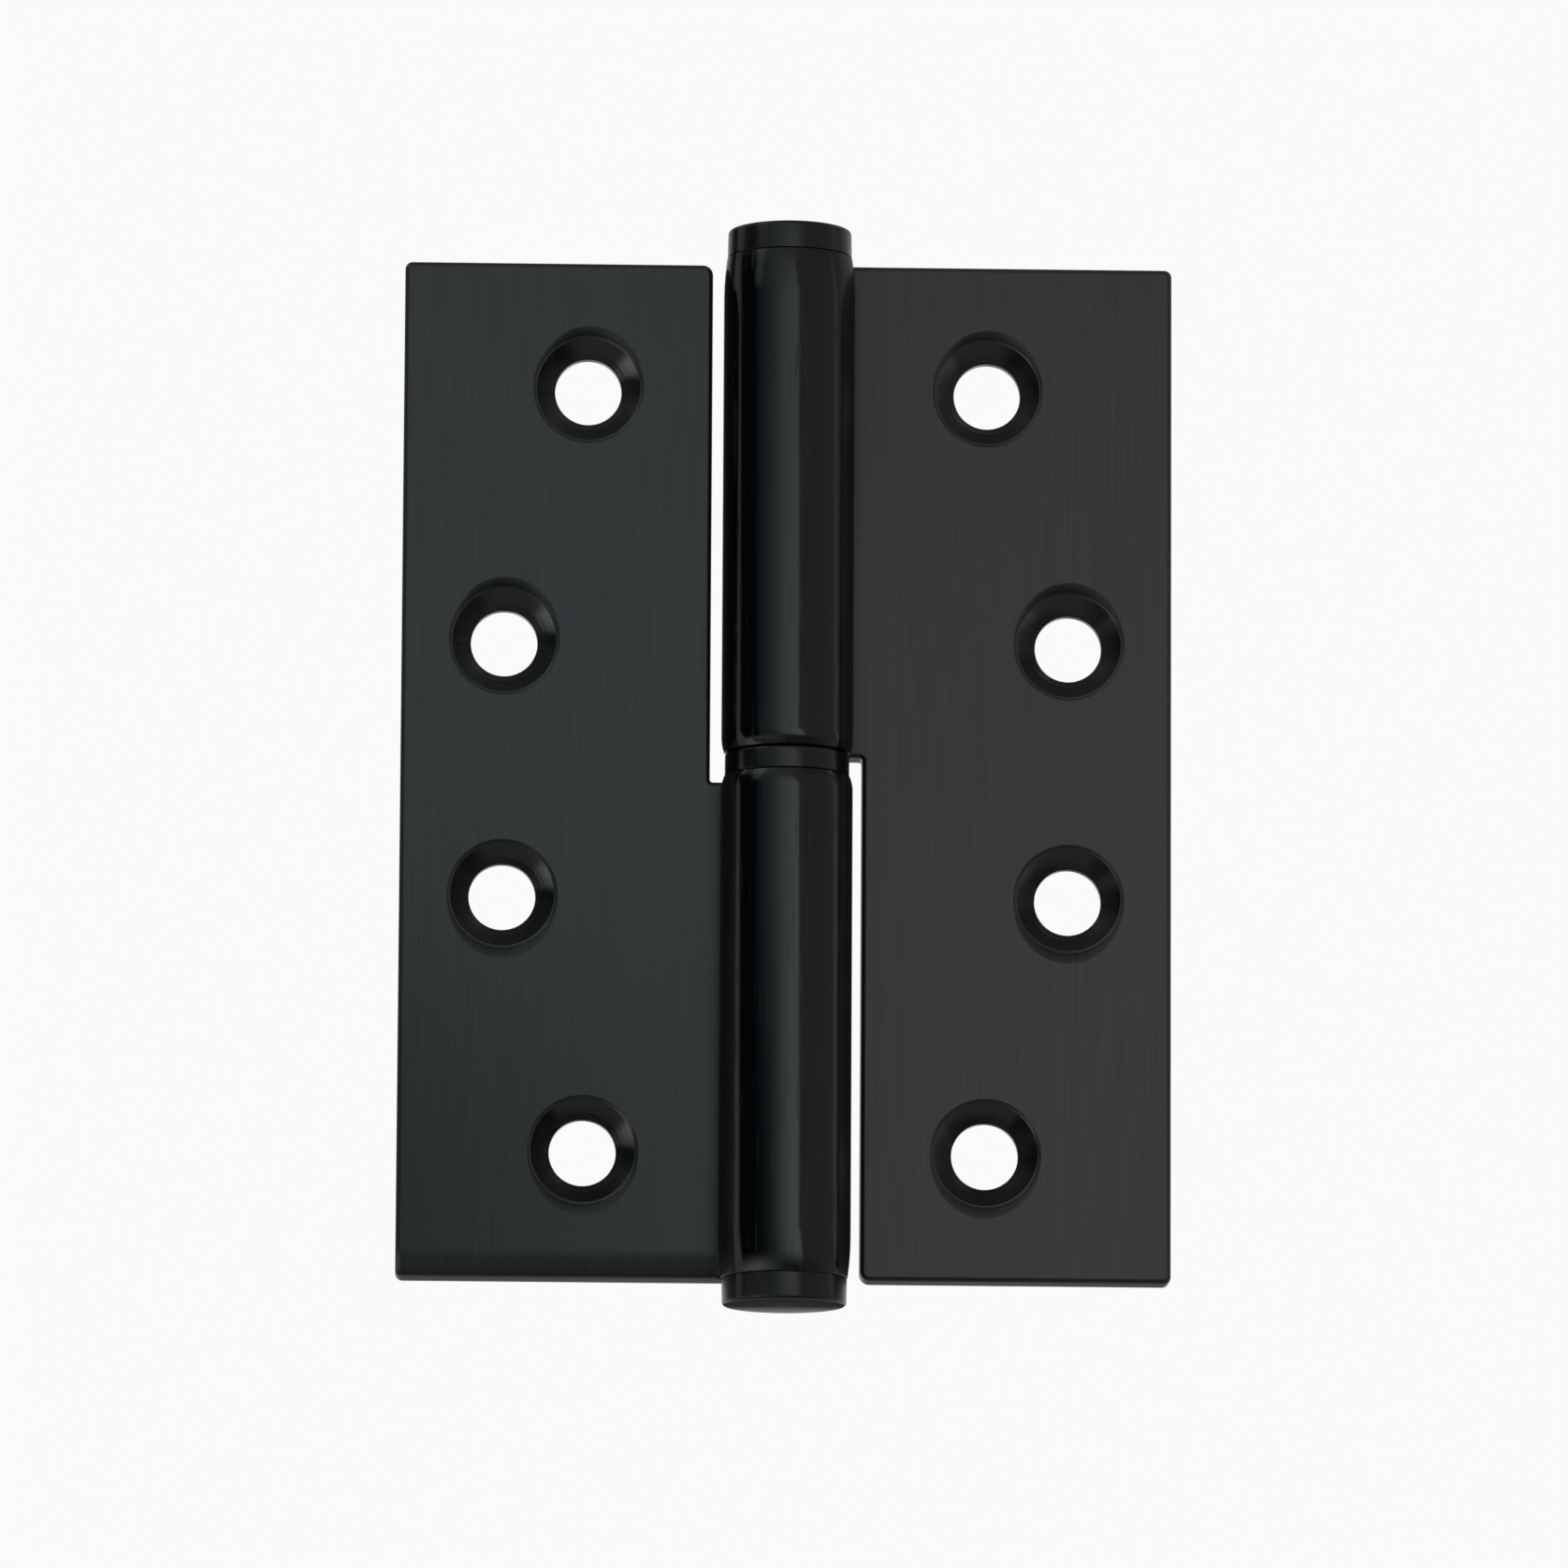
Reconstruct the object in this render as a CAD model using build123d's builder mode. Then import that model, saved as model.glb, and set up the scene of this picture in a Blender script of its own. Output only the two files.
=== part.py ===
from build123d import *
import os

# Lift-off hinge, opened flat: two leaves rolled into knuckles, a pin fixed in the lower knuckle,
# a bearing washer between the knuckles and a cap on each end. Millimetres.
# Z runs up the pin from mid height, X runs across the leaves, and the countersunk faces look along -Y.

# Leaves
leaf_height = 100.0
leaf_reach = 37.5  # pin axis to a leaf's outer edge
leaf_thickness = 3.0
closed_gap = 5.0  # between the two leaves' faces when the hinge is shut
outer_corner_radius = 0.7
tongue_corner_radius = 1.0  # free corner beside the other leaf's knuckle
notch_root_radius = 0.3
edge_radius = 0.5  # front edges, polished over

# Knuckles, rolled from the leaf
knuckle_wall = 2.9
knuckle_proud = 0.15  # the knuckle's ends stand past the leaf's edges, so that only they bear
outer_shoulder_length = 4.0  # crowned end under the cap
inner_shoulder_length = 1.5  # crowned end at the washer
shoulder_drop = 0.3
rim_chamfer = 0.12
bore_chamfer = 0.4  # lead-in at the bore's mouths
rolled_seam = 0.12  # slit where the curl comes back to the leaf's face
swage_radius = 3.0  # hollow where the leaf's back runs into the knuckle
notch_gap = 1.0  # from a leaf's notch to the other leaf's knuckle

# Pin and washer
pin_diameter = 7.0
running_clearance = 0.05  # radial, round the pin in the door leaf and the washer
pin_head_room = 2.0  # from the pin's nose to the upper cap's spigot
pin_nose_length = 2.5
pin_nose_diameter = 4.0
pin_foot_chamfer = 0.5
washer_thickness = 2.2
washer_edge_chamfer = 0.3

# End caps
cap_height = 2.65
cap_inset = 0.05  # the caps and the washer stand back from the knuckle's end rim
cap_crown_chamfer = 0.4
cap_seat_chamfer = 0.15
spigot_length = 4.5
spigot_chamfer = 0.4

# Screw holes, four to a leaf
screw_hole_diameter = 6.5
countersink_diameter = 10.4
countersink_angle = 90.0
mouth_bevel = 0.2  # flatter bevel round a countersink's mouth
mouth_bevel_angle = 135.0
end_hole_inset = 12.5  # end pair, from the leaf's ends
end_hole_edge = 18.0  # end pair, from the leaf's outer edge
middle_hole_pitch = 25.0
middle_hole_edge = 10.0  # middle pair, from the leaf's outer edge

# Worked out from the sizes above
half_height = leaf_height / 2
leaf_front = closed_gap / 2
knuckle_radius = pin_diameter / 2 + knuckle_wall
rim_end_radius = knuckle_radius - shoulder_drop
collar_radius = rim_end_radius - cap_inset
knuckle_outer_end = half_height + knuckle_proud
knuckle_inner_end = washer_thickness / 2
notch_reach = knuckle_radius + notch_gap
notch_end = knuckle_inner_end + knuckle_proud
press_bore_radius = pin_diameter / 2
running_bore_radius = press_bore_radius + running_clearance
end_hole_reach = leaf_reach - end_hole_edge
end_hole_height = half_height - end_hole_inset
middle_hole_reach = leaf_reach - middle_hole_edge
middle_hole_height = middle_hole_pitch / 2


def rolled_leaf(bore_radius):
    """A leaf left of the pin, with its knuckle on the lower half and its notch on the upper half."""
    front_plane = Plane.XZ.offset(-leaf_front)
    knuckle_length = knuckle_outer_end - knuckle_inner_end
    with BuildPart() as leaf:
        # Flat blank, cut away above its own knuckle to clear the other leaf's
        with BuildSketch(front_plane):
            Rectangle(leaf_reach, leaf_height, align=(Align.MAX, Align.CENTER))
            fillet(vertices().group_by(Axis.X)[0], radius=outer_corner_radius)
            with Locations((0, half_height)):
                Rectangle(
                    notch_reach,
                    half_height + notch_end,
                    align=(Align.MAX, Align.MAX),
                    mode=Mode.SUBTRACT,
                )
            fillet(vertices().group_by(Axis.X)[-2].sort_by(Axis.Y)[0], radius=notch_root_radius)
            fillet(vertices().group_by(Axis.Y)[-1].sort_by(Axis.X)[-1], radius=tongue_corner_radius)
        extrude(amount=-leaf_thickness)
        fillet(faces().sort_by(Axis.Y)[0].edges(), radius=edge_radius)

        # Knuckle, crowned at both ends
        outer_foot = (-knuckle_radius, outer_shoulder_length - knuckle_outer_end)
        inner_foot = (-knuckle_radius, -inner_shoulder_length - knuckle_inner_end)
        outer_rim = (-rim_end_radius, -knuckle_outer_end)
        inner_rim = (-rim_end_radius, -knuckle_inner_end)
        with BuildSketch(Plane.XZ):
            with BuildLine():
                Polyline(outer_rim, (0, -knuckle_outer_end), (0, -knuckle_inner_end), inner_rim)
                TangentArc(inner_foot, inner_rim, tangent=(0, 1))
                Line(inner_foot, outer_foot)
                TangentArc(outer_foot, outer_rim, tangent=(0, -1))
            make_face()
            chamfer(vertices().group_by(Axis.X)[1], rim_chamfer)
        revolve(axis=Axis.Z)

        # Hollow along the back, where the leaf bends into its knuckle
        back_face = faces().filter_by(Plane.XZ).sort_by(Axis.Y)[-1]
        fillet(
            back_face.edges().filter_by(lambda edge: edge.bounding_box().min.X > -knuckle_radius),
            radius=swage_radius,
        )

        # Bore with its lead-ins, and the slit where the rolled end meets the leaf
        with BuildSketch(Plane.XY.offset(-knuckle_outer_end)):
            Circle(bore_radius)
        extrude(amount=knuckle_length, mode=Mode.SUBTRACT)
        chamfer(edges(Select.LAST).filter_by(GeomType.CIRCLE), bore_chamfer)
        with BuildSketch(Plane.XY.offset(-knuckle_outer_end)):
            with Locations((0, leaf_front)):
                Rectangle(knuckle_radius, rolled_seam, align=(Align.MAX, Align.MAX))
        extrude(amount=knuckle_length, mode=Mode.SUBTRACT)

        # Countersunk screw holes
        with Locations(front_plane):
            with Locations(
                (-end_hole_reach, end_hole_height),
                (-end_hole_reach, -end_hole_height),
                (-middle_hole_reach, middle_hole_height),
                (-middle_hole_reach, -middle_hole_height),
            ):
                CounterSinkHole(
                    screw_hole_diameter / 2,
                    countersink_diameter / 2,
                    depth=leaf_thickness,
                    counter_sink_angle=countersink_angle,
                )
                CounterSinkHole(
                    screw_hole_diameter / 2,
                    countersink_diameter / 2 + mouth_bevel,
                    depth=leaf_thickness,
                    counter_sink_angle=mouth_bevel_angle,
                )
    return leaf.part


def end_cap(bore_radius):
    """A button cap that sits on the lower knuckle's end, with its spigot up the bore."""
    with BuildPart() as cap:
        with BuildSketch(Plane.XY.offset(-knuckle_outer_end)):
            Circle(collar_radius)
        extrude(amount=-cap_height)
        chamfer(edges().group_by(Axis.Z)[0], cap_crown_chamfer)
        chamfer(faces().sort_by(Axis.Z)[-1].edges(), cap_seat_chamfer)
        with BuildSketch(Plane.XY.offset(-knuckle_outer_end)):
            Circle(bore_radius)
        extrude(amount=spigot_length)
        chamfer(faces().sort_by(Axis.Z)[-1].edges(), spigot_chamfer)
    return cap.part


# Leaf screwed to the door frame, with the lower knuckle and the pin pressed into it
with BuildPart() as frame_leaf:
    add(rolled_leaf(press_bore_radius))
frame_leaf.part.label = "frame_leaf"

# Leaf screwed to the door: the same blank turned end for end, with a running bore that lifts off the pin
with BuildPart() as door_leaf:
    add(rolled_leaf(running_bore_radius), rotation=(0, 180, 0))
door_leaf.part.label = "door_leaf"

# Pin, from the lower cap's spigot up to a tapered nose below the upper cap's spigot
pin_foot = spigot_length - knuckle_outer_end
pin_tip = knuckle_outer_end - spigot_length - pin_head_room
with BuildPart() as hinge_pin:
    with BuildSketch(Plane.XZ):
        with BuildLine():
            Polyline(
                (0, pin_foot),
                (press_bore_radius - pin_foot_chamfer, pin_foot),
                (press_bore_radius, pin_foot + pin_foot_chamfer),
                (press_bore_radius, pin_tip - pin_nose_length),
                (pin_nose_diameter / 2, pin_tip),
                (0, pin_tip),
                close=True,
            )
        make_face()
    revolve(axis=Axis.Z)
hinge_pin.part.label = "hinge_pin"

# Bearing washer, loose on the pin between the knuckles
with BuildPart() as bearing_washer:
    with BuildSketch(Plane.XY.offset(-knuckle_inner_end)):
        Circle(collar_radius)
        Circle(running_bore_radius, mode=Mode.SUBTRACT)
    extrude(amount=washer_thickness)
    chamfer(edges().filter_by(GeomType.CIRCLE).group_by(SortBy.RADIUS)[-1], washer_edge_chamfer)
bearing_washer.part.label = "bearing_washer"

# Caps, each pressed into its own knuckle
with BuildPart() as lower_cap:
    add(end_cap(press_bore_radius))
lower_cap.part.label = "lower_cap"

with BuildPart() as upper_cap:
    add(end_cap(running_bore_radius), rotation=(0, 180, 0))
upper_cap.part.label = "upper_cap"

os.makedirs("parts", exist_ok=True)
for piece in (frame_leaf, door_leaf, hinge_pin, bearing_washer, lower_cap, upper_cap):
    export_step(piece.part, f"parts/{piece.part.label}.step")
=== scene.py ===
import bpy
import numpy as np
from mathutils import Matrix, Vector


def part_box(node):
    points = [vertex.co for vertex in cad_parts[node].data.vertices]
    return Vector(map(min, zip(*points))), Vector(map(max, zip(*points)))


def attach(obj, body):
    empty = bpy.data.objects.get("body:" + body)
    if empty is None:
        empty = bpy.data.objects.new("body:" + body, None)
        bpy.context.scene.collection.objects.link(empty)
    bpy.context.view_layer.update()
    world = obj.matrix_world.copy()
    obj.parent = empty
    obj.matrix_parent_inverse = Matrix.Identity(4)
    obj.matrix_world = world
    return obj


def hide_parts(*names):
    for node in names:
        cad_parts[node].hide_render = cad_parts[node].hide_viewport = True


# Lift-off hinge in black-finished brushed steel, opened flat.
# The leaves and the pin show the frame's solids. The caps and the washer are turned again here, with rims
# rounded by polishing. The rest is finishes, studio and camera.

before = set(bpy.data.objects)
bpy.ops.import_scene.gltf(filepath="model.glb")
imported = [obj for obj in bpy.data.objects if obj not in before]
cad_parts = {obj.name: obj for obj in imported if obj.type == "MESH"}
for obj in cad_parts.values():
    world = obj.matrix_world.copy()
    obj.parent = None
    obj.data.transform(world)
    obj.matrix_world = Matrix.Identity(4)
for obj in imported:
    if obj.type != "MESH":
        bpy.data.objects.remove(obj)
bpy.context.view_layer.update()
scene = bpy.context.scene
scene.view_settings.view_transform = "Standard"

MM = 0.001
ACROSS, UPRIGHT = 0, 2
LOW_END, HIGH_END = 0, 1


def reach(node, axis, end=HIGH_END):
    """Where a solid of the frame ends along an axis, in millimetres from the hinge's middle."""
    return round(float(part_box(node)[end][axis]) / MM, 2)


# Sizes that the frame gives, in millimetres
KNUCKLE_RADIUS = reach("frame_leaf", ACROSS)
KNUCKLE_END = reach("door_leaf", UPRIGHT)
LEAF_REACH = reach("door_leaf", ACROSS)
LEAF_HALF_HEIGHT = reach("frame_leaf", UPRIGHT)
COLLAR_RADIUS = reach("bearing_washer", ACROSS)
WASHER_HALF = reach("bearing_washer", UPRIGHT)
CAP_FACE = reach("upper_cap", UPRIGHT)
SPIGOT_END = reach("upper_cap", UPRIGHT, LOW_END)
PRESS_BORE_RADIUS = reach("hinge_pin", ACROSS)

# Leaves and screw holes, in millimetres
LEAF_FRONT = 2.5  # behind the pin axis
LEAF_THICKNESS = 3.0
LEAF_BACK = LEAF_FRONT + LEAF_THICKNESS
COUNTERSINK_RADIUS = 5.2
MOUTH_BEVEL = 0.2
MOUTH_RADIUS = COUNTERSINK_RADIUS + MOUTH_BEVEL
END_HOLE_EDGE = 18.0  # from the leaf's outer edge
END_HOLE_INSET = 12.5  # from the leaf's end
MIDDLE_HOLE_EDGE = 10.0
MIDDLE_HOLE_PITCH = 25.0
END_HOLE = (LEAF_REACH - END_HOLE_EDGE, 0, LEAF_HALF_HEIGHT - END_HOLE_INSET)
MIDDLE_HOLE = (LEAF_REACH - MIDDLE_HOLE_EDGE, 0, MIDDLE_HOLE_PITCH / 2)

# Caps and washer, in millimetres
RUNNING_CLEARANCE = 0.05
RUNNING_BORE_RADIUS = PRESS_BORE_RADIUS + RUNNING_CLEARANCE
WASHER_UPPER_ROUND = 0.35
WASHER_LOWER_ROUND = 0.1
CAP_TAPER = 0.04
CAP_CROWN_ROUND = 0.32
CAP_SEAT_ROUND = 0.05
SPIGOT_CHAMFER = 0.4

# Steps of the turned meshes, and the angle in degrees past which an edge stays sharp
TURN_STEPS = 128
ROUND_STEPS = 9
SEAT_STEPS = 6
SIDE_STEPS = 13
SHARP_ANGLE = 35

# Wear left by the belt, in millimetres: each hole's mouth is drawn out away from mid height, and the frame
# leaf falls away at its low end
MOUTH_SHIFT = (0, 0, 0.45)
MOUTH_PULL = (1, 0, 0.92)  # share of each distance that counts
MOUTH_FALL = 0.9
MOUTH_DEPTH = 0.32
MOUTH_CURVE = 1.3
LOW_END_RUN = 3.2  # from the leaf's end to where the fall starts
LOW_END_PAST = 0.3  # from the leaf's end to where the fall would be full
LOW_END_DEPTH = 0.75
LOW_END_CURVE = 2.0

# Share of a noise pattern's range that most of it keeps to
PATTERN_LOW, PATTERN_HIGH = 0.3, 0.7

# Finish of the leaves, with sizes in millimetres
POLISH_START, POLISH_FULL = 0.2, 0.02  # outside the knuckle's radius
MISSED_START, MISSED_FULL = 4.9, 5.4  # across from the pin, where the polishing wheel stopped
CUT_FADE = 0.2  # inside a countersink's rim
FACE_SKIN = 0.03  # depth that counts as a leaf's face
BACK_SKIN = 0.1
BELT_DEPTH = 1.0  # how far back from the face the belt reached
BRUSH_LINE = (0.16, 0.16, 10)  # lines about 0.1 mm apart, drawn half as wide again so that they show
BRUSH_DEPTH, POLISHED_DEPTH = 0.004, 0.001
CUTTER_RING = 0.25
CUTTER_DEPTH = 0.006
BLACKENING_PATCH = 22
BLACKENING_SHARE = 0.35
SCRATCH = (0.3, 0.3, 6)
SCRATCH_START, SCRATCH_FULL = 0.60, 0.75  # in the pattern's range
SATIN_FINE, SATIN_COARSE = 0.25, 0.30
POLISHED_ROUGHNESS, SCRATCH_ROUGHNESS = 0.09, 0.34
MISSED_ROUGHNESS = 0.36
CUT_ROUGHNESS = 0.2
LACQUER_WEIGHT = 0.8
LACQUER_ROUGHNESS = 0.6
BRUSH_SPREAD = 0.6

# Finish of the caps and the washer, with sizes in millimetres
TURNING_RING = 0.2
COLLAR_RUB = (0.2, 0.2, 3)
COLLAR_MARK_DEPTH = 0.001
COLLAR_FINE, COLLAR_COARSE = 0.20, 0.26
BUFFED_SKIN = 0.03  # depth that counts as a cap's face
BUFFED_ROUGHNESS = 0.1
TURNING_SPREAD = 0.9
ALONG_PIN = 0.25  # a quarter turn, from round the pin to along it

# Finish of the pin, with sizes in millimetres
GRINDING_LINE = (4, 4, 0.2)  # lines 0.1 mm apart, drawn twice as coarse so that they show
GRINDING_DEPTH = 0.003
OIL_PATCH = 5
GROUND_FINE, GROUND_COARSE = 0.16, 0.28

# Camera, with angles in degrees and lengths in metres
PHOTO_WIDTH = 1676  # pixels
FOCAL_PIXELS = 13955.86
SENSOR_WIDTH = 36.0  # millimetres
CAMERA_AZIMUTH = -1.747
CAMERA_ELEVATION = -9.334
CAMERA_ROLL = 0.322
CAMERA_DISTANCE = 1.2665
CAMERA_TARGET = np.array([-0.00028, 0, -0.00182])

# Floor, in metres
FLOOR_LEVEL = -0.64
FLOOR_REACH = 4.0
FLOOR_STEPS = 9
FLOOR_MOTTLE = 60  # millimetres

# Tent of soft light and dark cloth, with its radius in metres. A height is a share of the radius, and a
# colour of the cloth stands at an azimuth in degrees from the front.
TENT_RADIUS = 0.6
TENT_TURN_STEPS = 97
TENT_RISE_STEPS = 49
TENT_GLOW = 1.15
TENT_LEAN = 40  # degrees that the walls' upright edges lean to the left over the tent's radius
WALL_FADE = (-0.05, 0.75)
STRIP_EDGE = (0.28, 0.36)
TABLE_EDGE = (-0.08, -0.20)
CEILING_EDGE = (0.40, 0.62)
FOOT_EDGE = (-0.40, -0.60)
TOP_EDGE = (0.70, 0.92)
# Walls: black cloth on the left, a bright front that fades in from the left and stops at a sharp edge on the
# right, warm grey cloth on the right, a slit of light on each side, and a pale back
WALLS = [
    (-180, "#bcbcba"), (-145, "#c8caca"), (-118, "#34383c"), (-107, "#2c3036"), (-102, "#b8baba"),
    (-88, "#b8baba"), (-84, "#1e242a"), (-54, "#20282e"), (-41, "#5c6a70"), (-31, "#76868a"),
    (-21, "#909d9f"), (-11, "#b8c1c2"), (-1, "#dce1e2"), (6, "#e8ebea"), (19, "#fdfefb"), (24, "#fffdf2"),
    (27, "#8c8a86"), (60, "#8e8c88"), (93, "#969490"), (96, "#ccccc8"), (101, "#ccccc8"), (104, "#8a8884"),
    (145, "#c8c8c6"), (180, "#bcbcba")]
# Lamp high on the black cloth, which lights a narrow strip on each collar
STRIP_LAMP = [
    (-180, "#000000"), (-68, "#000000"), (-62, "#b0aea8"), (-52, "#b0aea8"), (-46, "#000000"),
    (180, "#000000")]
# Table, below level: white on the left, grey in front, pale towards the back, and a narrow dark card
# straight behind
TABLE = [
    (-180, "#343636"), (-171, "#343636"), (-158, "#c8c8c6"), (-120, "#d0d0ce"), (-100, "#b0b0ae"),
    (-86, "#c0beba"), (-70, "#f8f4ea"), (-48, "#f8f4ea"), (-26, "#b4b4b0"), (0, "#666664"), (30, "#666664"),
    (60, "#787876"), (110, "#b0b0ae"), (130, "#d0d0ce"), (158, "#c8c8c6"), (171, "#343636"),
    (180, "#343636")]
# Ceiling: grey, with bright patches on the left and at both sides
CEILING = [
    (-180, "#6c6c6a"), (-135, "#c4c4c2"), (-95, "#f4f4f2"), (-86, "#9c9c9a"), (-76, "#9c9c9a"),
    (-66, "#fffdf2"), (-52, "#fffdf2"), (-44, "#b0b0ae"), (-10, "#a0a09e"), (25, "#949492"), (40, "#7c7c7a"),
    (85, "#7c7c7a"), (95, "#d0d0ce"), (130, "#d0d0ce"), (180, "#6c6c6a")]
# Foot, below the table: dark in front and pale behind
FOOT = [
    (-180, "#a8a8a6"), (-130, "#a8a8a6"), (-105, "#5c5e5e"), (80, "#5c5e5e"), (110, "#a8a8a6"),
    (180, "#a8a8a6")]

# Flag of black gauze, in millimetres. An edge has its axis, and where on it the gauze is clear and dense.
FLAG_ACROSS = (-160, 15)
FLAG_UPRIGHT = (-60, 10)
FLAG_FRONT = -70
FLAG_STEPS = 4
FLAG_COVER = 0.75
FLAG_EDGES = [("X", 15, -65), ("Z", 10, -35), ("Z", -58, -48)]

# Light, with lengths in metres
LIGHT_LEVEL = 0.85  # that the surroundings cast on things
SEEN_LEVEL = 1.0  # that they show to the camera and in reflections
SOFT_BOX_SIZE = 0.8
SOFT_BOX_POWER = 12  # watts
SOFT_BOX_PLACE = (-0.3, -0.4, 1.3)
SOFT_BOX_TURN = (-0.3, -0.2, 0)  # radians


def linear(hex_colour):
    """An sRGB hex colour as linear red, green and blue, with alpha."""
    srgb = np.array([int(hex_colour[i:i + 2], 16) for i in (1, 3, 5)]) / 255
    return (*np.where(srgb <= 0.04045, srgb / 12.92, ((srgb + 0.055) / 1.055) ** 2.4), 1)


def per_size(size):
    """Pattern scale, in repeats per metre, for features of a size in millimetres, or of a size per axis."""
    return 1 / np.multiply(size, MM)


def live(sockets, name=None):
    """The first of a node's sockets that is in use, of this name if one is given."""
    return next(socket for socket in sockets if socket.enabled and name in (None, socket.name))


def feed(tree, node, inputs):
    """Gives a node its inputs, by name or number: a constant, a socket, or a node's first output in use."""
    for key, value in inputs.items():
        socket = node.inputs[key] if isinstance(key, int) else live(node.inputs, key)
        if isinstance(value, bpy.types.Node):
            value = live(value.outputs)
        if isinstance(value, bpy.types.NodeSocket):
            tree.links.new(value, socket)
        else:
            socket.default_value = value


def add_node(tree, kind, inputs, **settings):
    """Adds a node with its settings and its inputs."""
    node = tree.nodes.new(kind)
    for name, value in settings.items():
        setattr(node, name, value)
    feed(tree, node, inputs)
    return node


def new_material(name):
    """A named material with its node tree and its shader."""
    material = bpy.data.materials.new(name)
    material.use_nodes = True
    return material, material.node_tree, material.node_tree.nodes["Principled BSDF"]


def studio_material(name):
    """A named material with an empty node tree, whose glow isn't sampled as a lamp."""
    material = bpy.data.materials.new(name)
    material.use_nodes = True
    material.node_tree.nodes.clear()
    material.cycles.emission_sampling = "NONE"
    return material, material.node_tree


def grid_mesh(name, points):
    """A mesh over a grid of points, one quad to a cell; its two parameters are the rows and the columns."""
    rows, columns = points.shape[:2]
    index = np.arange(rows * columns).reshape(rows, columns)
    quads = np.stack([index[:-1, :-1], index[:-1, 1:], index[1:, 1:], index[1:, :-1]], axis=-1)
    mesh = bpy.data.meshes.new(name)
    mesh.from_pydata(points.reshape(-1, 3).tolist(), [], quads.reshape(-1, 4).tolist())
    mesh.polygons.foreach_set("use_smooth", np.ones(len(mesh.polygons), bool))
    piece = bpy.data.objects.new(name, mesh)
    scene.collection.objects.link(piece)
    return piece


# Camera, at the photograph's viewing angle

def photo_camera():
    """A camera on a sphere round its target: azimuth from the front, elevation from level, slight roll."""
    azimuth, elevation, roll = np.radians([CAMERA_AZIMUTH, CAMERA_ELEVATION, CAMERA_ROLL])
    level = np.cos(elevation)
    back = np.array([np.sin(azimuth) * level, -np.cos(azimuth) * level, np.sin(elevation)])
    side = np.cross([0, 0, 1], back)
    side /= np.linalg.norm(side)
    top = np.cross(back, side)
    right = side * np.cos(roll) + top * np.sin(roll)
    up = top * np.cos(roll) - side * np.sin(roll)
    pose = np.eye(4)
    pose[:3] = np.column_stack([right, up, back, CAMERA_TARGET + back * CAMERA_DISTANCE])
    lens = bpy.data.cameras.new("photo_camera")
    lens.sensor_fit = "HORIZONTAL"
    lens.sensor_width = SENSOR_WIDTH
    lens.lens = FOCAL_PIXELS * SENSOR_WIDTH / PHOTO_WIDTH
    camera = bpy.data.objects.new("photo_camera", lens)
    camera.matrix_world = Matrix(pose.tolist())
    scene.collection.objects.link(camera)
    scene.camera = camera


# Studio: pale floor, white surroundings, and a tent and a flag that the metal reflects

def studio_floor():
    """A flat square: both parameters run along the floor."""
    along = np.linspace(-FLOOR_REACH, FLOOR_REACH, FLOOR_STEPS)
    x, y = np.meshgrid(along, along)
    floor = grid_mesh("floor", np.stack([x, y, np.full_like(x, FLOOR_LEVEL)], axis=-1))
    material, tree, shader = new_material("matt white paper")
    # Matt paper: no gloss, and a faint unevenness a few centimetres across
    place = add_node(tree, "ShaderNodeTexCoord", {}).outputs["Object"]
    mottle = add_node(tree, "ShaderNodeTexNoise", {"Vector": place, "Scale": per_size(FLOOR_MOTTLE)})
    tone = add_node(tree, "ShaderNodeMix", {
        "Factor": mottle, "A": linear("#f4f4f3"), "B": linear("#f9f9f8")}, data_type="RGBA")
    feed(tree, shader, {"Base Color": tone, "Roughness": 1.0, "Specular IOR Level": 0.0})
    floor.data.materials.append(material)
    floor.visible_glossy = False


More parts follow.
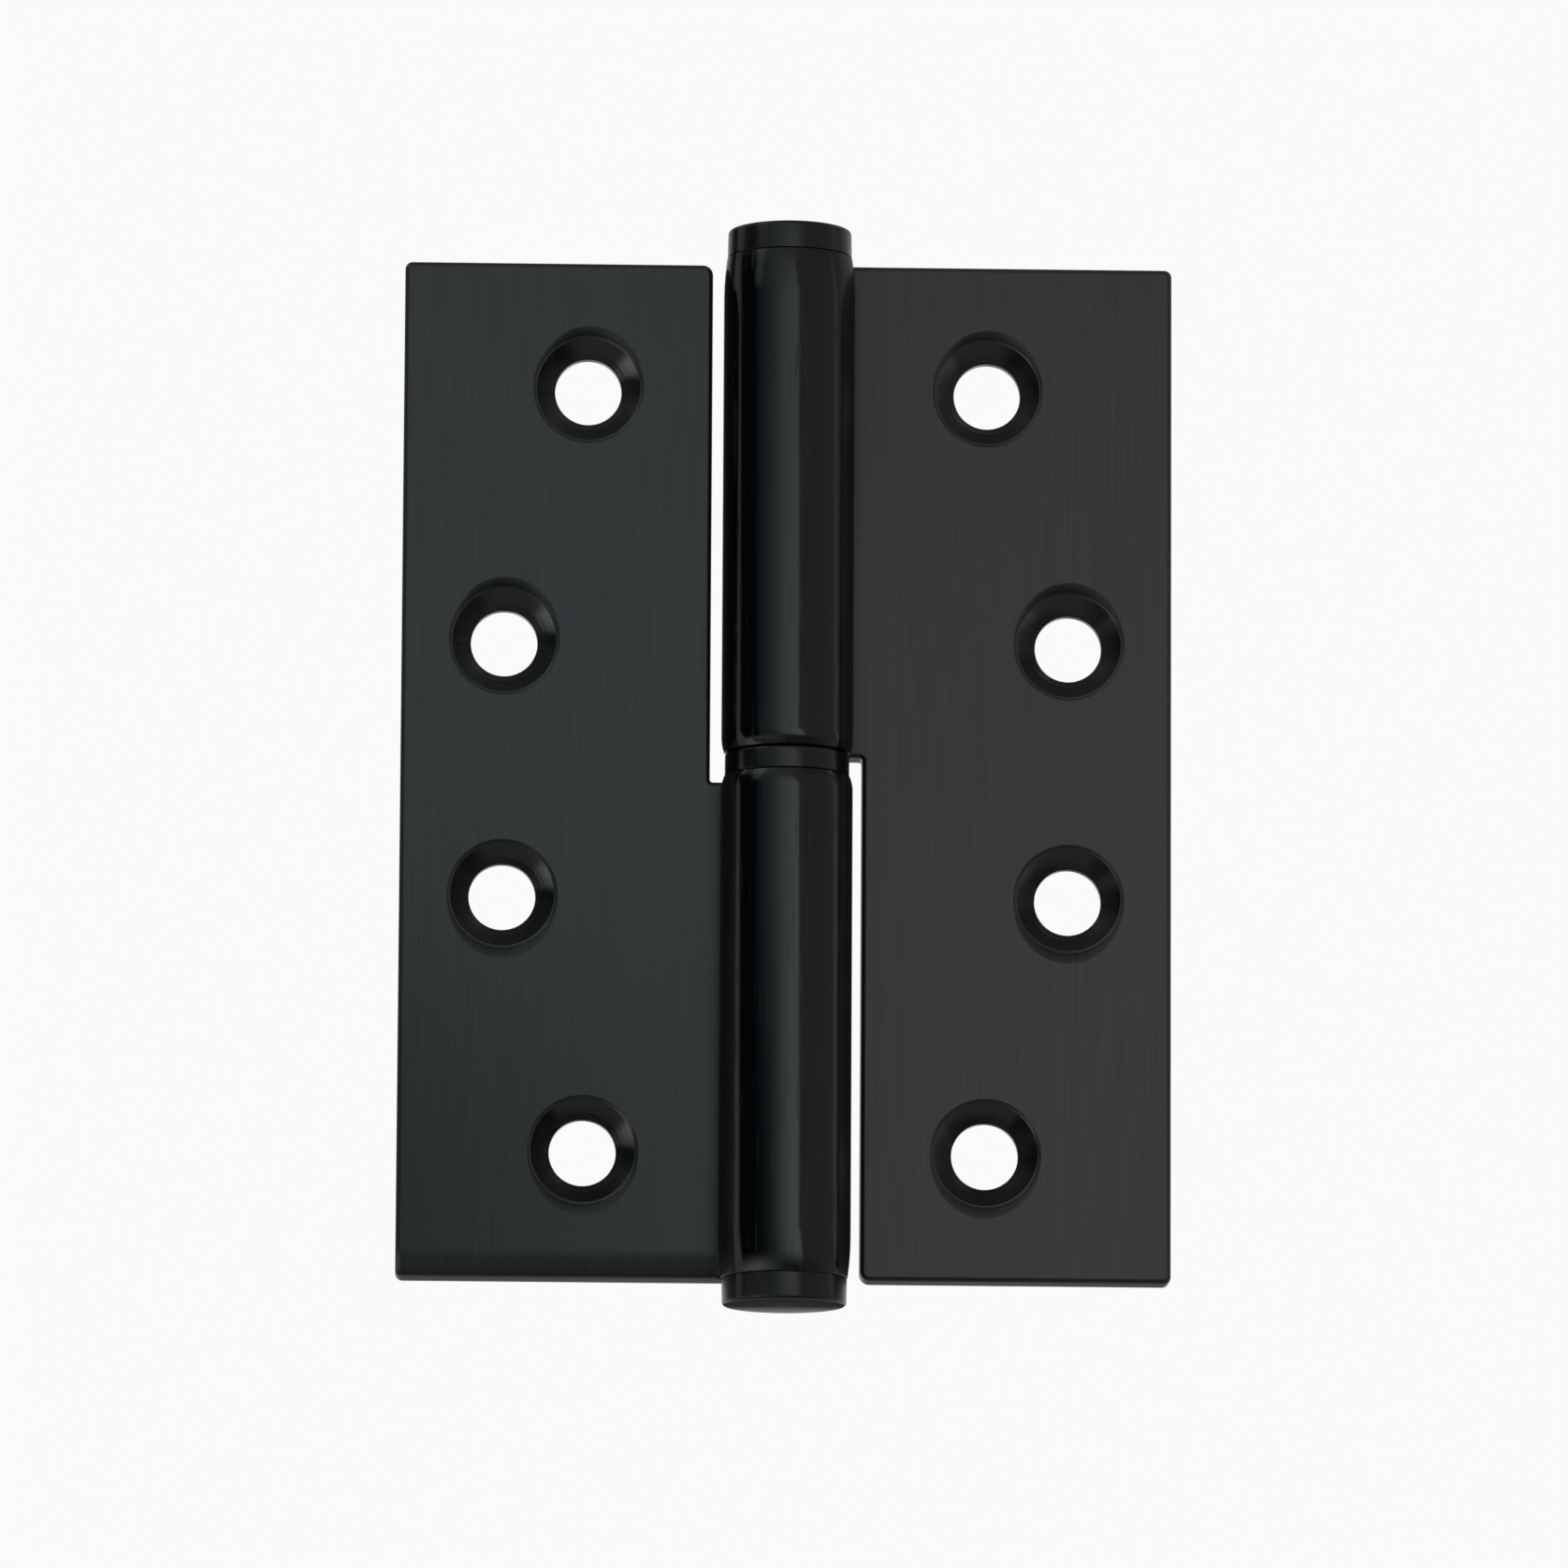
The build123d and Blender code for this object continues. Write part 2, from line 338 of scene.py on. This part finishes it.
def studio_tent():
    """A ball round the hinge: one parameter turns about the vertical, the other goes from bottom to top."""
    turn = np.linspace(-np.pi, np.pi, TENT_TURN_STEPS)
    rise = np.linspace(-np.pi / 2, np.pi / 2, TENT_RISE_STEPS)
    rise, turn = np.meshgrid(rise, turn)
    points = np.stack([np.sin(turn) * np.cos(rise), -np.cos(turn) * np.cos(rise), np.sin(rise)], axis=-1)
    tent = grid_mesh("light_tent", points * TENT_RADIUS)
    material, tree = studio_material("light tent cloth")
    # Cloth lit from behind, which gives the metal soft bands of light and dark to reflect
    place = add_node(tree, "ShaderNodeTexCoord", {}).outputs["Object"]
    x, y, height = add_node(tree, "ShaderNodeSeparateXYZ", {"Vector": place}).outputs
    towards = add_node(tree, "ShaderNodeMath", {0: y, 1: -1.0}, operation="MULTIPLY")
    bearing = add_node(tree, "ShaderNodeMath", {0: x, 1: towards}, operation="ARCTAN2")
    share = add_node(tree, "ShaderNodeMapRange", {"Value": bearing, "From Min": -np.pi, "From Max": np.pi})
    lean = TENT_LEAN / 360 / TENT_RADIUS
    slanted = add_node(tree, "ShaderNodeMath", {0: height, 1: lean, 2: share}, operation="MULTIPLY_ADD")

    # Each band of cloth has its own colours round the tent
    bands = []
    for stops in (WALLS, STRIP_LAMP, TABLE, CEILING, FOOT):
        band = add_node(tree, "ShaderNodeValToRGB", {"Fac": slanted if stops is WALLS else share})
        elements = band.color_ramp.elements
        while len(elements) < len(stops):
            elements.new(0.5)
        for element, (degrees, tone) in zip(elements, stops):
            element.position = (degrees + 180) / 360
            element.color = linear(tone)
        bands.append(band)
    walls, strip_lamp, table, ceiling, foot = bands

    # The walls darken as they rise, and turn into each of the other bands between two heights
    cloth = walls
    for band, (start, stop), blend in (
            (linear("#8a8a88"), WALL_FADE, "DARKEN"),
            (strip_lamp, STRIP_EDGE, "LIGHTEN"),
            (table, TABLE_EDGE, "MIX"),
            (ceiling, CEILING_EDGE, "MIX"),
            (foot, FOOT_EDGE, "MIX"),
            (linear("#7c7c7a"), TOP_EDGE, "MIX")):
        taken = add_node(tree, "ShaderNodeMapRange", {
            "Value": height, "From Min": start * TENT_RADIUS, "From Max": stop * TENT_RADIUS},
            interpolation_type="SMOOTHSTEP")
        cloth = add_node(tree, "ShaderNodeMix", {"Factor": taken, "A": cloth, "B": band},
                         data_type="RGBA", blend_type=blend)
    glow = add_node(tree, "ShaderNodeEmission", {"Color": cloth, "Strength": TENT_GLOW})
    add_node(tree, "ShaderNodeOutputMaterial", {"Surface": glow})
    tent.data.materials.append(material)
    tent.visible_camera = False
    tent.visible_diffuse = False
    tent.visible_shadow = False


def studio_flag():
    """A flat upright flag close to the hinge, low on its left: both parameters run over the rectangle."""
    across = np.linspace(*FLAG_ACROSS, FLAG_STEPS)
    upright = np.linspace(*FLAG_UPRIGHT, FLAG_STEPS)
    x, z = np.meshgrid(across, upright)
    flag = grid_mesh("black_flag", np.stack([x, np.full_like(x, FLAG_FRONT), z], axis=-1) * MM)
    material, tree = studio_material("black gauze")
    # Gauze that thins out to nothing at its right, upper and lower edges, so it darkens reflections softly
    place = add_node(tree, "ShaderNodeTexCoord", {}).outputs["Object"]
    split = add_node(tree, "ShaderNodeSeparateXYZ", {"Vector": place})
    cover = FLAG_COVER
    for axis, clear, dense in FLAG_EDGES:
        fade = add_node(tree, "ShaderNodeMapRange", {
            "Value": split.outputs[axis], "From Min": clear * MM, "From Max": dense * MM},
            interpolation_type="SMOOTHSTEP")
        cover = add_node(tree, "ShaderNodeMath", {0: fade, 1: cover}, operation="MULTIPLY")
    open_weave = add_node(tree, "ShaderNodeBsdfTransparent", {})
    threads = add_node(tree, "ShaderNodeEmission", {"Color": linear("#2c3036"), "Strength": 1.0})
    gauze = add_node(tree, "ShaderNodeMixShader", {0: cover, 1: open_weave, 2: threads})
    add_node(tree, "ShaderNodeOutputMaterial", {"Surface": gauze})
    flag.data.materials.append(material)
    flag.visible_camera = False
    flag.visible_diffuse = False
    flag.visible_shadow = False


def studio_light():
    """White surroundings, and one soft lamp overhead that gives the floor its shadow."""
    world = bpy.data.worlds.new("white_studio")
    world.use_nodes = True
    tree = world.node_tree
    path = add_node(tree, "ShaderNodeLightPath", {}).outputs
    seen = path["Is Camera Ray"]
    for ray in ("Is Glossy Ray", "Is Transmission Ray"):
        seen = add_node(tree, "ShaderNodeMath", {0: seen, 1: path[ray]}, operation="MAXIMUM")
    level = add_node(tree, "ShaderNodeMapRange", {
        "Value": seen, "To Min": LIGHT_LEVEL, "To Max": SEEN_LEVEL})
    feed(tree, tree.nodes["Background"], {"Color": linear("#fafafa"), "Strength": level})
    scene.world = world
    soft_box = bpy.data.lights.new("soft_box", "AREA")
    soft_box.shape = "SQUARE"
    soft_box.size = SOFT_BOX_SIZE
    soft_box.energy = SOFT_BOX_POWER
    lamp = bpy.data.objects.new("soft_box", soft_box)
    lamp.location = SOFT_BOX_PLACE
    lamp.rotation_euler = SOFT_BOX_TURN
    lamp.visible_glossy = False
    scene.collection.objects.link(lamp)


# Turned pieces, with rims rounded by polishing

def arc(centre, radius, start, stop, count=ROUND_STEPS):
    """Points (radius, height) of an arc in a profile, between two angles in degrees, 0 pointing outwards."""
    angle = np.radians(np.linspace(start, stop, count))
    return np.stack([centre[0] + radius * np.cos(angle), centre[1] + radius * np.sin(angle)], axis=-1)


def turned(name, profile, closed):
    """A profile of (radius, height) in millimetres turned round the pin: one parameter goes along the
    profile, the other once round. A closed profile makes a ring; an open one starts and ends on the axis."""
    angle = np.linspace(0, 2 * np.pi, TURN_STEPS, endpoint=False)
    rings = profile if closed else profile[1:-1]
    radius, height = (rings.T * MM)[:, :, None]
    points = np.stack([radius * np.cos(angle), radius * np.sin(angle), height + 0 * angle], axis=-1)
    rows = len(rings)
    index = np.arange(rows * TURN_STEPS).reshape(rows, TURN_STEPS)
    ahead = np.roll(index, -1, axis=1)
    here = np.arange(rows if closed else rows - 1)
    there = (here + 1) % rows
    faces = np.stack([index[here], ahead[here], ahead[there], index[there]], axis=-1).reshape(-1, 4).tolist()
    points = points.reshape(-1, 3).tolist()
    if not closed:
        first_pole = len(points)
        points += [(0, 0, profile[0, 1] * MM), (0, 0, profile[-1, 1] * MM)]
        faces += np.stack([np.full(TURN_STEPS, first_pole), ahead[0], index[0]], axis=-1).tolist()
        faces += np.stack([np.full(TURN_STEPS, first_pole + 1), index[-1], ahead[-1]], axis=-1).tolist()
    mesh = bpy.data.meshes.new(name)
    mesh.from_pydata(points, [], faces)
    mesh.polygons.foreach_set("use_smooth", np.ones(len(mesh.polygons), bool))
    mesh.set_sharp_from_angle(angle=np.radians(SHARP_ANGLE))
    piece = bpy.data.objects.new(name, mesh)
    scene.collection.objects.link(piece)
    return piece


def cap_profile(spigot_radius):
    """Lower cap, from the spigot's end to the middle of the face: the side draws in with the square of the
    distance from the seat, and rolls into the face through an arc."""
    seat = -KNUCKLE_END
    face = -CAP_FACE
    lean = np.arctan(2 * CAP_TAPER / (seat - face - CAP_SEAT_ROUND - CAP_CROWN_ROUND))
    side_end = face + CAP_CROWN_ROUND * (1 - np.sin(lean))
    share = np.linspace(0, 1, SIDE_STEPS)
    side = np.stack([
        COLLAR_RADIUS - CAP_TAPER * share ** 2,
        (seat - CAP_SEAT_ROUND) * (1 - share) + side_end * share], axis=-1)
    seat_centre = (COLLAR_RADIUS - CAP_SEAT_ROUND, seat - CAP_SEAT_ROUND)
    crown_centre = (side[-1, 0] - CAP_CROWN_ROUND * np.cos(lean), face + CAP_CROWN_ROUND)
    return np.concatenate([
        [(0, -SPIGOT_END), (spigot_radius - SPIGOT_CHAMFER, -SPIGOT_END)],
        [(spigot_radius, -SPIGOT_END - SPIGOT_CHAMFER), (spigot_radius, seat)],
        arc(seat_centre, CAP_SEAT_ROUND, 90, 0, SEAT_STEPS),
        side[1:-1],
        arc(crown_centre, CAP_CROWN_ROUND, -np.degrees(lean), -90),
        [(0, face)],
    ])


def washer_profile():
    """Washer's section, from the bore's top round the outside to its foot: both outer rims are arcs."""
    upper_centre = (COLLAR_RADIUS - WASHER_UPPER_ROUND, WASHER_HALF - WASHER_UPPER_ROUND)
    lower_centre = (COLLAR_RADIUS - WASHER_LOWER_ROUND, WASHER_LOWER_ROUND - WASHER_HALF)
    return np.concatenate([
        [(RUNNING_BORE_RADIUS, WASHER_HALF)],
        arc(upper_centre, WASHER_UPPER_ROUND, 90, 0),
        arc(lower_centre, WASHER_LOWER_ROUND, 0, -90),
        [(RUNNING_BORE_RADIUS, -WASHER_HALF)],
    ])


def turned_piece(node, body, material, profile, closed=False):
    """A turned piece that stands for a solid of the frame and moves with its body."""
    piece = turned("turned_" + node, profile, closed)
    piece.data.materials.append(material)
    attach(piece, body)
    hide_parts(node)


# Finishes

def black_brushed_steel():
    """The leaves: stainless sheet, belt-brushed along the pin and blackened, with a polished knuckle."""
    # Satin black with fine upright brush lines on the plate; the polished knuckle shows the studio as
    # upright bands with a few rubbed scratches, and the countersinks keep the rings of the cutter
    material, tree, shader = new_material("blackened brushed stainless steel")
    place = add_node(tree, "ShaderNodeTexCoord", {}).outputs["Object"]
    x, y, z = add_node(tree, "ShaderNodeSeparateXYZ", {"Vector": place}).outputs

    # Where the surface belongs to the knuckle, to a countersink, to the frame leaf and to the leaves' fronts
    from_pin = add_node(tree, "ShaderNodeVectorMath", {0: place, 1: (1, 1, 0)}, operation="MULTIPLY")
    radius = add_node(tree, "ShaderNodeVectorMath", {0: from_pin}, operation="LENGTH")
    knuckle = add_node(tree, "ShaderNodeMapRange", {
        "Value": radius,
        "From Min": (KNUCKLE_RADIUS + POLISH_START) * MM,
        "From Max": (KNUCKLE_RADIUS + POLISH_FULL) * MM}, interpolation_type="SMOOTHSTEP")
    flat = add_node(tree, "ShaderNodeVectorMath", {0: place, 1: (1, 0, 1)}, operation="MULTIPLY")
    folded = add_node(tree, "ShaderNodeVectorMath", {0: flat}, operation="ABSOLUTE")
    to_end, to_middle = [
        add_node(tree, "ShaderNodeVectorMath", {0: folded, 1: np.multiply(centre, MM)}, operation="DISTANCE")
        for centre in (END_HOLE, MIDDLE_HOLE)]
    hole = add_node(tree, "ShaderNodeMath", {0: to_end, 1: to_middle}, operation="MINIMUM")
    ring = add_node(tree, "ShaderNodeMapRange", {
        "Value": hole,
        "From Min": COUNTERSINK_RADIUS * MM,
        "From Max": (COUNTERSINK_RADIUS - CUT_FADE) * MM}, interpolation_type="SMOOTHSTEP")
    off_back, on_face, in_reach = [
        add_node(tree, "ShaderNodeMath", {0: y, 1: depth * MM}, operation="LESS_THAN")
        for depth in (LEAF_BACK - BACK_SKIN, LEAF_FRONT + FACE_SKIN, LEAF_FRONT + BELT_DEPTH)]
    countersink = add_node(tree, "ShaderNodeMath", {0: ring, 1: off_back}, operation="MULTIPLY")
    on_frame = add_node(tree, "ShaderNodeMath", {0: x, 1: -KNUCKLE_RADIUS * MM}, operation="LESS_THAN")

    # Brush lines, cutter rings in the countersinks, slow unevenness of the blackening, and rubbed scratches
    lines = add_node(tree, "ShaderNodeMapping", {"Vector": place, "Scale": per_size(BRUSH_LINE)})
    brush = add_node(tree, "ShaderNodeTexNoise", {
        "Vector": lines, "Scale": 1.0, "Detail": 2.0, "Roughness": 0.6})
    rings = add_node(tree, "ShaderNodeTexNoise", {
        "W": hole, "Scale": per_size(CUTTER_RING), "Detail": 1.0}, noise_dimensions="1D")
    mottle = add_node(tree, "ShaderNodeTexNoise", {
        "Vector": place, "Scale": per_size(BLACKENING_PATCH), "Detail": 1.0})
    rubs = add_node(tree, "ShaderNodeMapping", {"Vector": place, "Scale": per_size(SCRATCH)})
    rub = add_node(tree, "ShaderNodeTexNoise", {"Vector": rubs, "Scale": 1.0, "Detail": 1.0})
    scratch = add_node(tree, "ShaderNodeMapRange", {
        "Value": rub, "From Min": SCRATCH_START, "From Max": SCRATCH_FULL})

    # The belt drew each hole's mouth out, away from mid height
    pulled = add_node(tree, "ShaderNodeVectorMath", {0: folded, 1: MOUTH_PULL}, operation="MULTIPLY")
    mouths = [np.add(centre, MOUTH_SHIFT) * MOUTH_PULL * MM for centre in (END_HOLE, MIDDLE_HOLE)]
    end_mouth, middle_mouth = [
        add_node(tree, "ShaderNodeVectorMath", {0: pulled, 1: mouth}, operation="DISTANCE")
        for mouth in mouths]
    from_mouth = add_node(tree, "ShaderNodeMath", {0: end_mouth, 1: middle_mouth}, operation="MINIMUM")
    near_mouth = add_node(tree, "ShaderNodeMapRange", {
        "Value": from_mouth, "From Min": MOUTH_RADIUS * MM, "From Max": (MOUTH_RADIUS - MOUTH_FALL) * MM})
    mouth_fall = add_node(tree, "ShaderNodeMath", {0: near_mouth, 1: MOUTH_CURVE}, operation="POWER")
    dished = add_node(tree, "ShaderNodeMath", {0: mouth_fall, 1: on_face}, operation="MULTIPLY")

    # Colour: brush lines first, on a door leaf a little warmer in tone than the frame leaf, then the slow
    # unevenness
    line_tone = add_node(tree, "ShaderNodeMapRange", {
        "Value": brush, "From Min": PATTERN_LOW, "From Max": PATTERN_HIGH})
    warm = add_node(tree, "ShaderNodeMix", {
        "Factor": line_tone, "A": linear("#323534"), "B": linear("#3c3f3e")}, data_type="RGBA")
    cool = add_node(tree, "ShaderNodeMix", {
        "Factor": line_tone, "A": linear("#2f3436"), "B": linear("#393e41")}, data_type="RGBA")
    plate = add_node(tree, "ShaderNodeMix", {"Factor": on_frame, "A": warm, "B": cool}, data_type="RGBA")
    uneven = add_node(tree, "ShaderNodeMapRange", {
        "Value": mottle, "From Min": PATTERN_LOW, "From Max": PATTERN_HIGH, "To Max": BLACKENING_SHARE})
    toned = add_node(tree, "ShaderNodeMix", {
        "Factor": uneven, "A": plate, "B": linear("#373a38")}, data_type="RGBA")
    polished = add_node(tree, "ShaderNodeMix", {
        "Factor": line_tone, "A": linear("#383b3b"), "B": linear("#3d4040")}, data_type="RGBA")
    rolled_tone = add_node(tree, "ShaderNodeMix", {
        "Factor": knuckle, "A": toned, "B": polished}, data_type="RGBA")
    cut_tone = add_node(tree, "ShaderNodeMix", {
        "Factor": countersink, "A": rolled_tone, "B": linear("#626563")}, data_type="RGBA")

    # Roughness: satin plate, polished knuckle with rougher scratches, fine-turned countersinks
    satin = add_node(tree, "ShaderNodeMapRange", {
        "Value": brush, "From Min": PATTERN_LOW, "From Max": PATTERN_HIGH,
        "To Min": SATIN_FINE, "To Max": SATIN_COARSE})
    shine = add_node(tree, "ShaderNodeMapRange", {
        "Value": scratch, "To Min": POLISHED_ROUGHNESS, "To Max": SCRATCH_ROUGHNESS})
    # The polishing wheel missed both flanks of the lower knuckle, and the upper one's beside the door leaf
    half = add_node(tree, "ShaderNodeMath", {0: z}, operation="SIGN")
    leafward = add_node(tree, "ShaderNodeMath", {0: x, 1: half}, operation="MULTIPLY")
    flank = add_node(tree, "ShaderNodeMath", {0: x, 1: leafward}, operation="MAXIMUM")
    missed = add_node(tree, "ShaderNodeMapRange", {
        "Value": flank, "From Min": MISSED_START * MM, "From Max": MISSED_FULL * MM},
        interpolation_type="SMOOTHSTEP")
    wheel = add_node(tree, "ShaderNodeMix", {"Factor": missed, "A": shine, "B": MISSED_ROUGHNESS})
    rolled_gloss = add_node(tree, "ShaderNodeMix", {"Factor": knuckle, "A": satin, "B": wheel})
    cut_gloss = add_node(tree, "ShaderNodeMix", {
        "Factor": countersink, "A": rolled_gloss, "B": CUT_ROUGHNESS})

    # Relief, in metres: brush lines, shallower on the knuckle, rings in the countersinks, and belt wear
    line_depth = add_node(tree, "ShaderNodeMapRange", {
        "Value": knuckle, "To Min": BRUSH_DEPTH * MM, "To Max": POLISHED_DEPTH * MM})
    line_height = add_node(tree, "ShaderNodeMath", {0: brush, 1: line_depth}, operation="MULTIPLY")
    ring_height = add_node(tree, "ShaderNodeMath", {0: rings, 1: CUTTER_DEPTH * MM}, operation="MULTIPLY")
    cut = add_node(tree, "ShaderNodeMix", {"Factor": countersink, "A": line_height, "B": ring_height})
    drawn_out = add_node(tree, "ShaderNodeMath", {0: dished, 1: -MOUTH_DEPTH * MM, 2: cut},
                         operation="MULTIPLY_ADD")
    low_share = add_node(tree, "ShaderNodeMapRange", {
        "Value": z,
        "From Min": (LOW_END_RUN - LEAF_HALF_HEIGHT) * MM,
        "From Max": (-LOW_END_PAST - LEAF_HALF_HEIGHT) * MM})
    low_curve = add_node(tree, "ShaderNodeMath", {0: low_share, 1: LOW_END_CURVE}, operation="POWER")
    low_fall = add_node(tree, "ShaderNodeMath", {0: low_curve, 1: -LOW_END_DEPTH * MM}, operation="MULTIPLY")
    run_off = add_node(tree, "ShaderNodeMath", {0: on_frame, 1: in_reach}, operation="MULTIPLY")
    relief = add_node(tree, "ShaderNodeMath", {0: low_fall, 1: run_off, 2: drawn_out},
                      operation="MULTIPLY_ADD")
    bump = add_node(tree, "ShaderNodeBump", {"Height": relief, "Strength": 1.0, "Distance": 1.0})

    # Thin satin lacquer, on the plate only
    plate_coat = add_node(tree, "ShaderNodeMapRange", {
        "Value": knuckle, "To Min": LACQUER_WEIGHT, "To Max": 0.0})
    mouth_coat = add_node(tree, "ShaderNodeMix", {"Factor": dished, "A": plate_coat, "B": 0.0})
    coat = add_node(tree, "ShaderNodeMix", {"Factor": countersink, "A": mouth_coat, "B": 0.0})
    feed(tree, shader, {
        "Base Color": cut_tone, "Roughness": cut_gloss, "Normal": bump, "Metallic": 1.0,
        "Anisotropic": BRUSH_SPREAD,
        "Coat Weight": coat, "Coat Normal": bump, "Coat Roughness": LACQUER_ROUGHNESS})
    return material


def black_polished_steel():
    """Caps and washer: turned from bar, polished and blackened."""
    # Glossy black: the turning grooves spread the gloss along the pin, with faint upright rubs on the sides
    # and faint rings on the caps' faces, which are buffed smoother
    material, tree, shader = new_material("blackened polished steel")
    place = add_node(tree, "ShaderNodeTexCoord", {}).outputs["Object"]
    z = add_node(tree, "ShaderNodeSeparateXYZ", {"Vector": place}).outputs["Z"]
    from_pin = add_node(tree, "ShaderNodeVectorMath", {0: place, 1: (1, 1, 0)}, operation="MULTIPLY")
    radius = add_node(tree, "ShaderNodeVectorMath", {0: from_pin}, operation="LENGTH")
    rings = add_node(tree, "ShaderNodeTexNoise", {
        "W": radius, "Scale": per_size(TURNING_RING), "Detail": 1.0}, noise_dimensions="1D")
    lines = add_node(tree, "ShaderNodeMapping", {"Vector": place, "Scale": per_size(COLLAR_RUB)})
    rub = add_node(tree, "ShaderNodeTexNoise", {"Vector": lines, "Scale": 1.0, "Detail": 2.0})
    marks = add_node(tree, "ShaderNodeMath", {0: rings, 1: rub}, operation="ADD")
    tone = add_node(tree, "ShaderNodeMix", {
        "Factor": rub, "A": linear("#373a3a"), "B": linear("#404342")}, data_type="RGBA")
    shine = add_node(tree, "ShaderNodeMapRange", {
        "Value": rub, "From Min": PATTERN_LOW, "From Max": PATTERN_HIGH,
        "To Min": COLLAR_FINE, "To Max": COLLAR_COARSE})
    height = add_node(tree, "ShaderNodeMath", {0: z}, operation="ABSOLUTE")
    face = add_node(tree, "ShaderNodeMath", {0: height, 1: (CAP_FACE - BUFFED_SKIN) * MM},
                    operation="GREATER_THAN")
    buffed = add_node(tree, "ShaderNodeMix", {"Factor": face, "A": shine, "B": BUFFED_ROUGHNESS})
    bump = add_node(tree, "ShaderNodeBump", {
        "Height": marks, "Strength": 1.0, "Distance": COLLAR_MARK_DEPTH * MM})
    feed(tree, shader, {
        "Base Color": tone, "Roughness": buffed, "Normal": bump, "Metallic": 1.0,
        "Anisotropic": TURNING_SPREAD, "Anisotropic Rotation": ALONG_PIN})
    return material


def ground_steel():
    """Hinge pin: bright steel, ground round and lightly oiled."""
    # Bright grey with fine grinding lines round the pin, and a tone that varies with the oil
    material, tree, shader = new_material("ground bright steel")
    place = add_node(tree, "ShaderNodeTexCoord", {}).outputs["Object"]
    lines = add_node(tree, "ShaderNodeMapping", {"Vector": place, "Scale": per_size(GRINDING_LINE)})
    grind = add_node(tree, "ShaderNodeTexNoise", {"Vector": lines, "Scale": 1.0, "Detail": 2.0})
    oil = add_node(tree, "ShaderNodeTexNoise", {
        "Vector": place, "Scale": per_size(OIL_PATCH), "Detail": 2.0})
    tone = add_node(tree, "ShaderNodeMix", {
        "Factor": oil, "A": linear("#8f8d88"), "B": linear("#b4b3af")}, data_type="RGBA")
    shine = add_node(tree, "ShaderNodeMapRange", {
        "Value": grind, "From Min": PATTERN_LOW, "From Max": PATTERN_HIGH,
        "To Min": GROUND_FINE, "To Max": GROUND_COARSE})
    bump = add_node(tree, "ShaderNodeBump", {
        "Height": grind, "Strength": 1.0, "Distance": GRINDING_DEPTH * MM})
    feed(tree, shader, {"Base Color": tone, "Roughness": shine, "Normal": bump, "Metallic": 1.0})
    return material


def dress(material, *nodes):
    """Gives a finish to solids of the frame."""
    for node in nodes:
        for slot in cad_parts[node].material_slots:
            slot.material = material


photo_camera()
studio_floor()
studio_tent()
studio_flag()
studio_light()
dress(black_brushed_steel(), "frame_leaf", "door_leaf")
collar_finish = black_polished_steel()
upside_down = np.array([1, -1])
turned_piece("lower_cap", "frame_side", collar_finish, cap_profile(PRESS_BORE_RADIUS))
turned_piece("upper_cap", "door_side", collar_finish, (cap_profile(RUNNING_BORE_RADIUS) * upside_down)[::-1])
turned_piece("bearing_washer", "washer", collar_finish, washer_profile(), closed=True)
dress(ground_steel(), "hinge_pin")
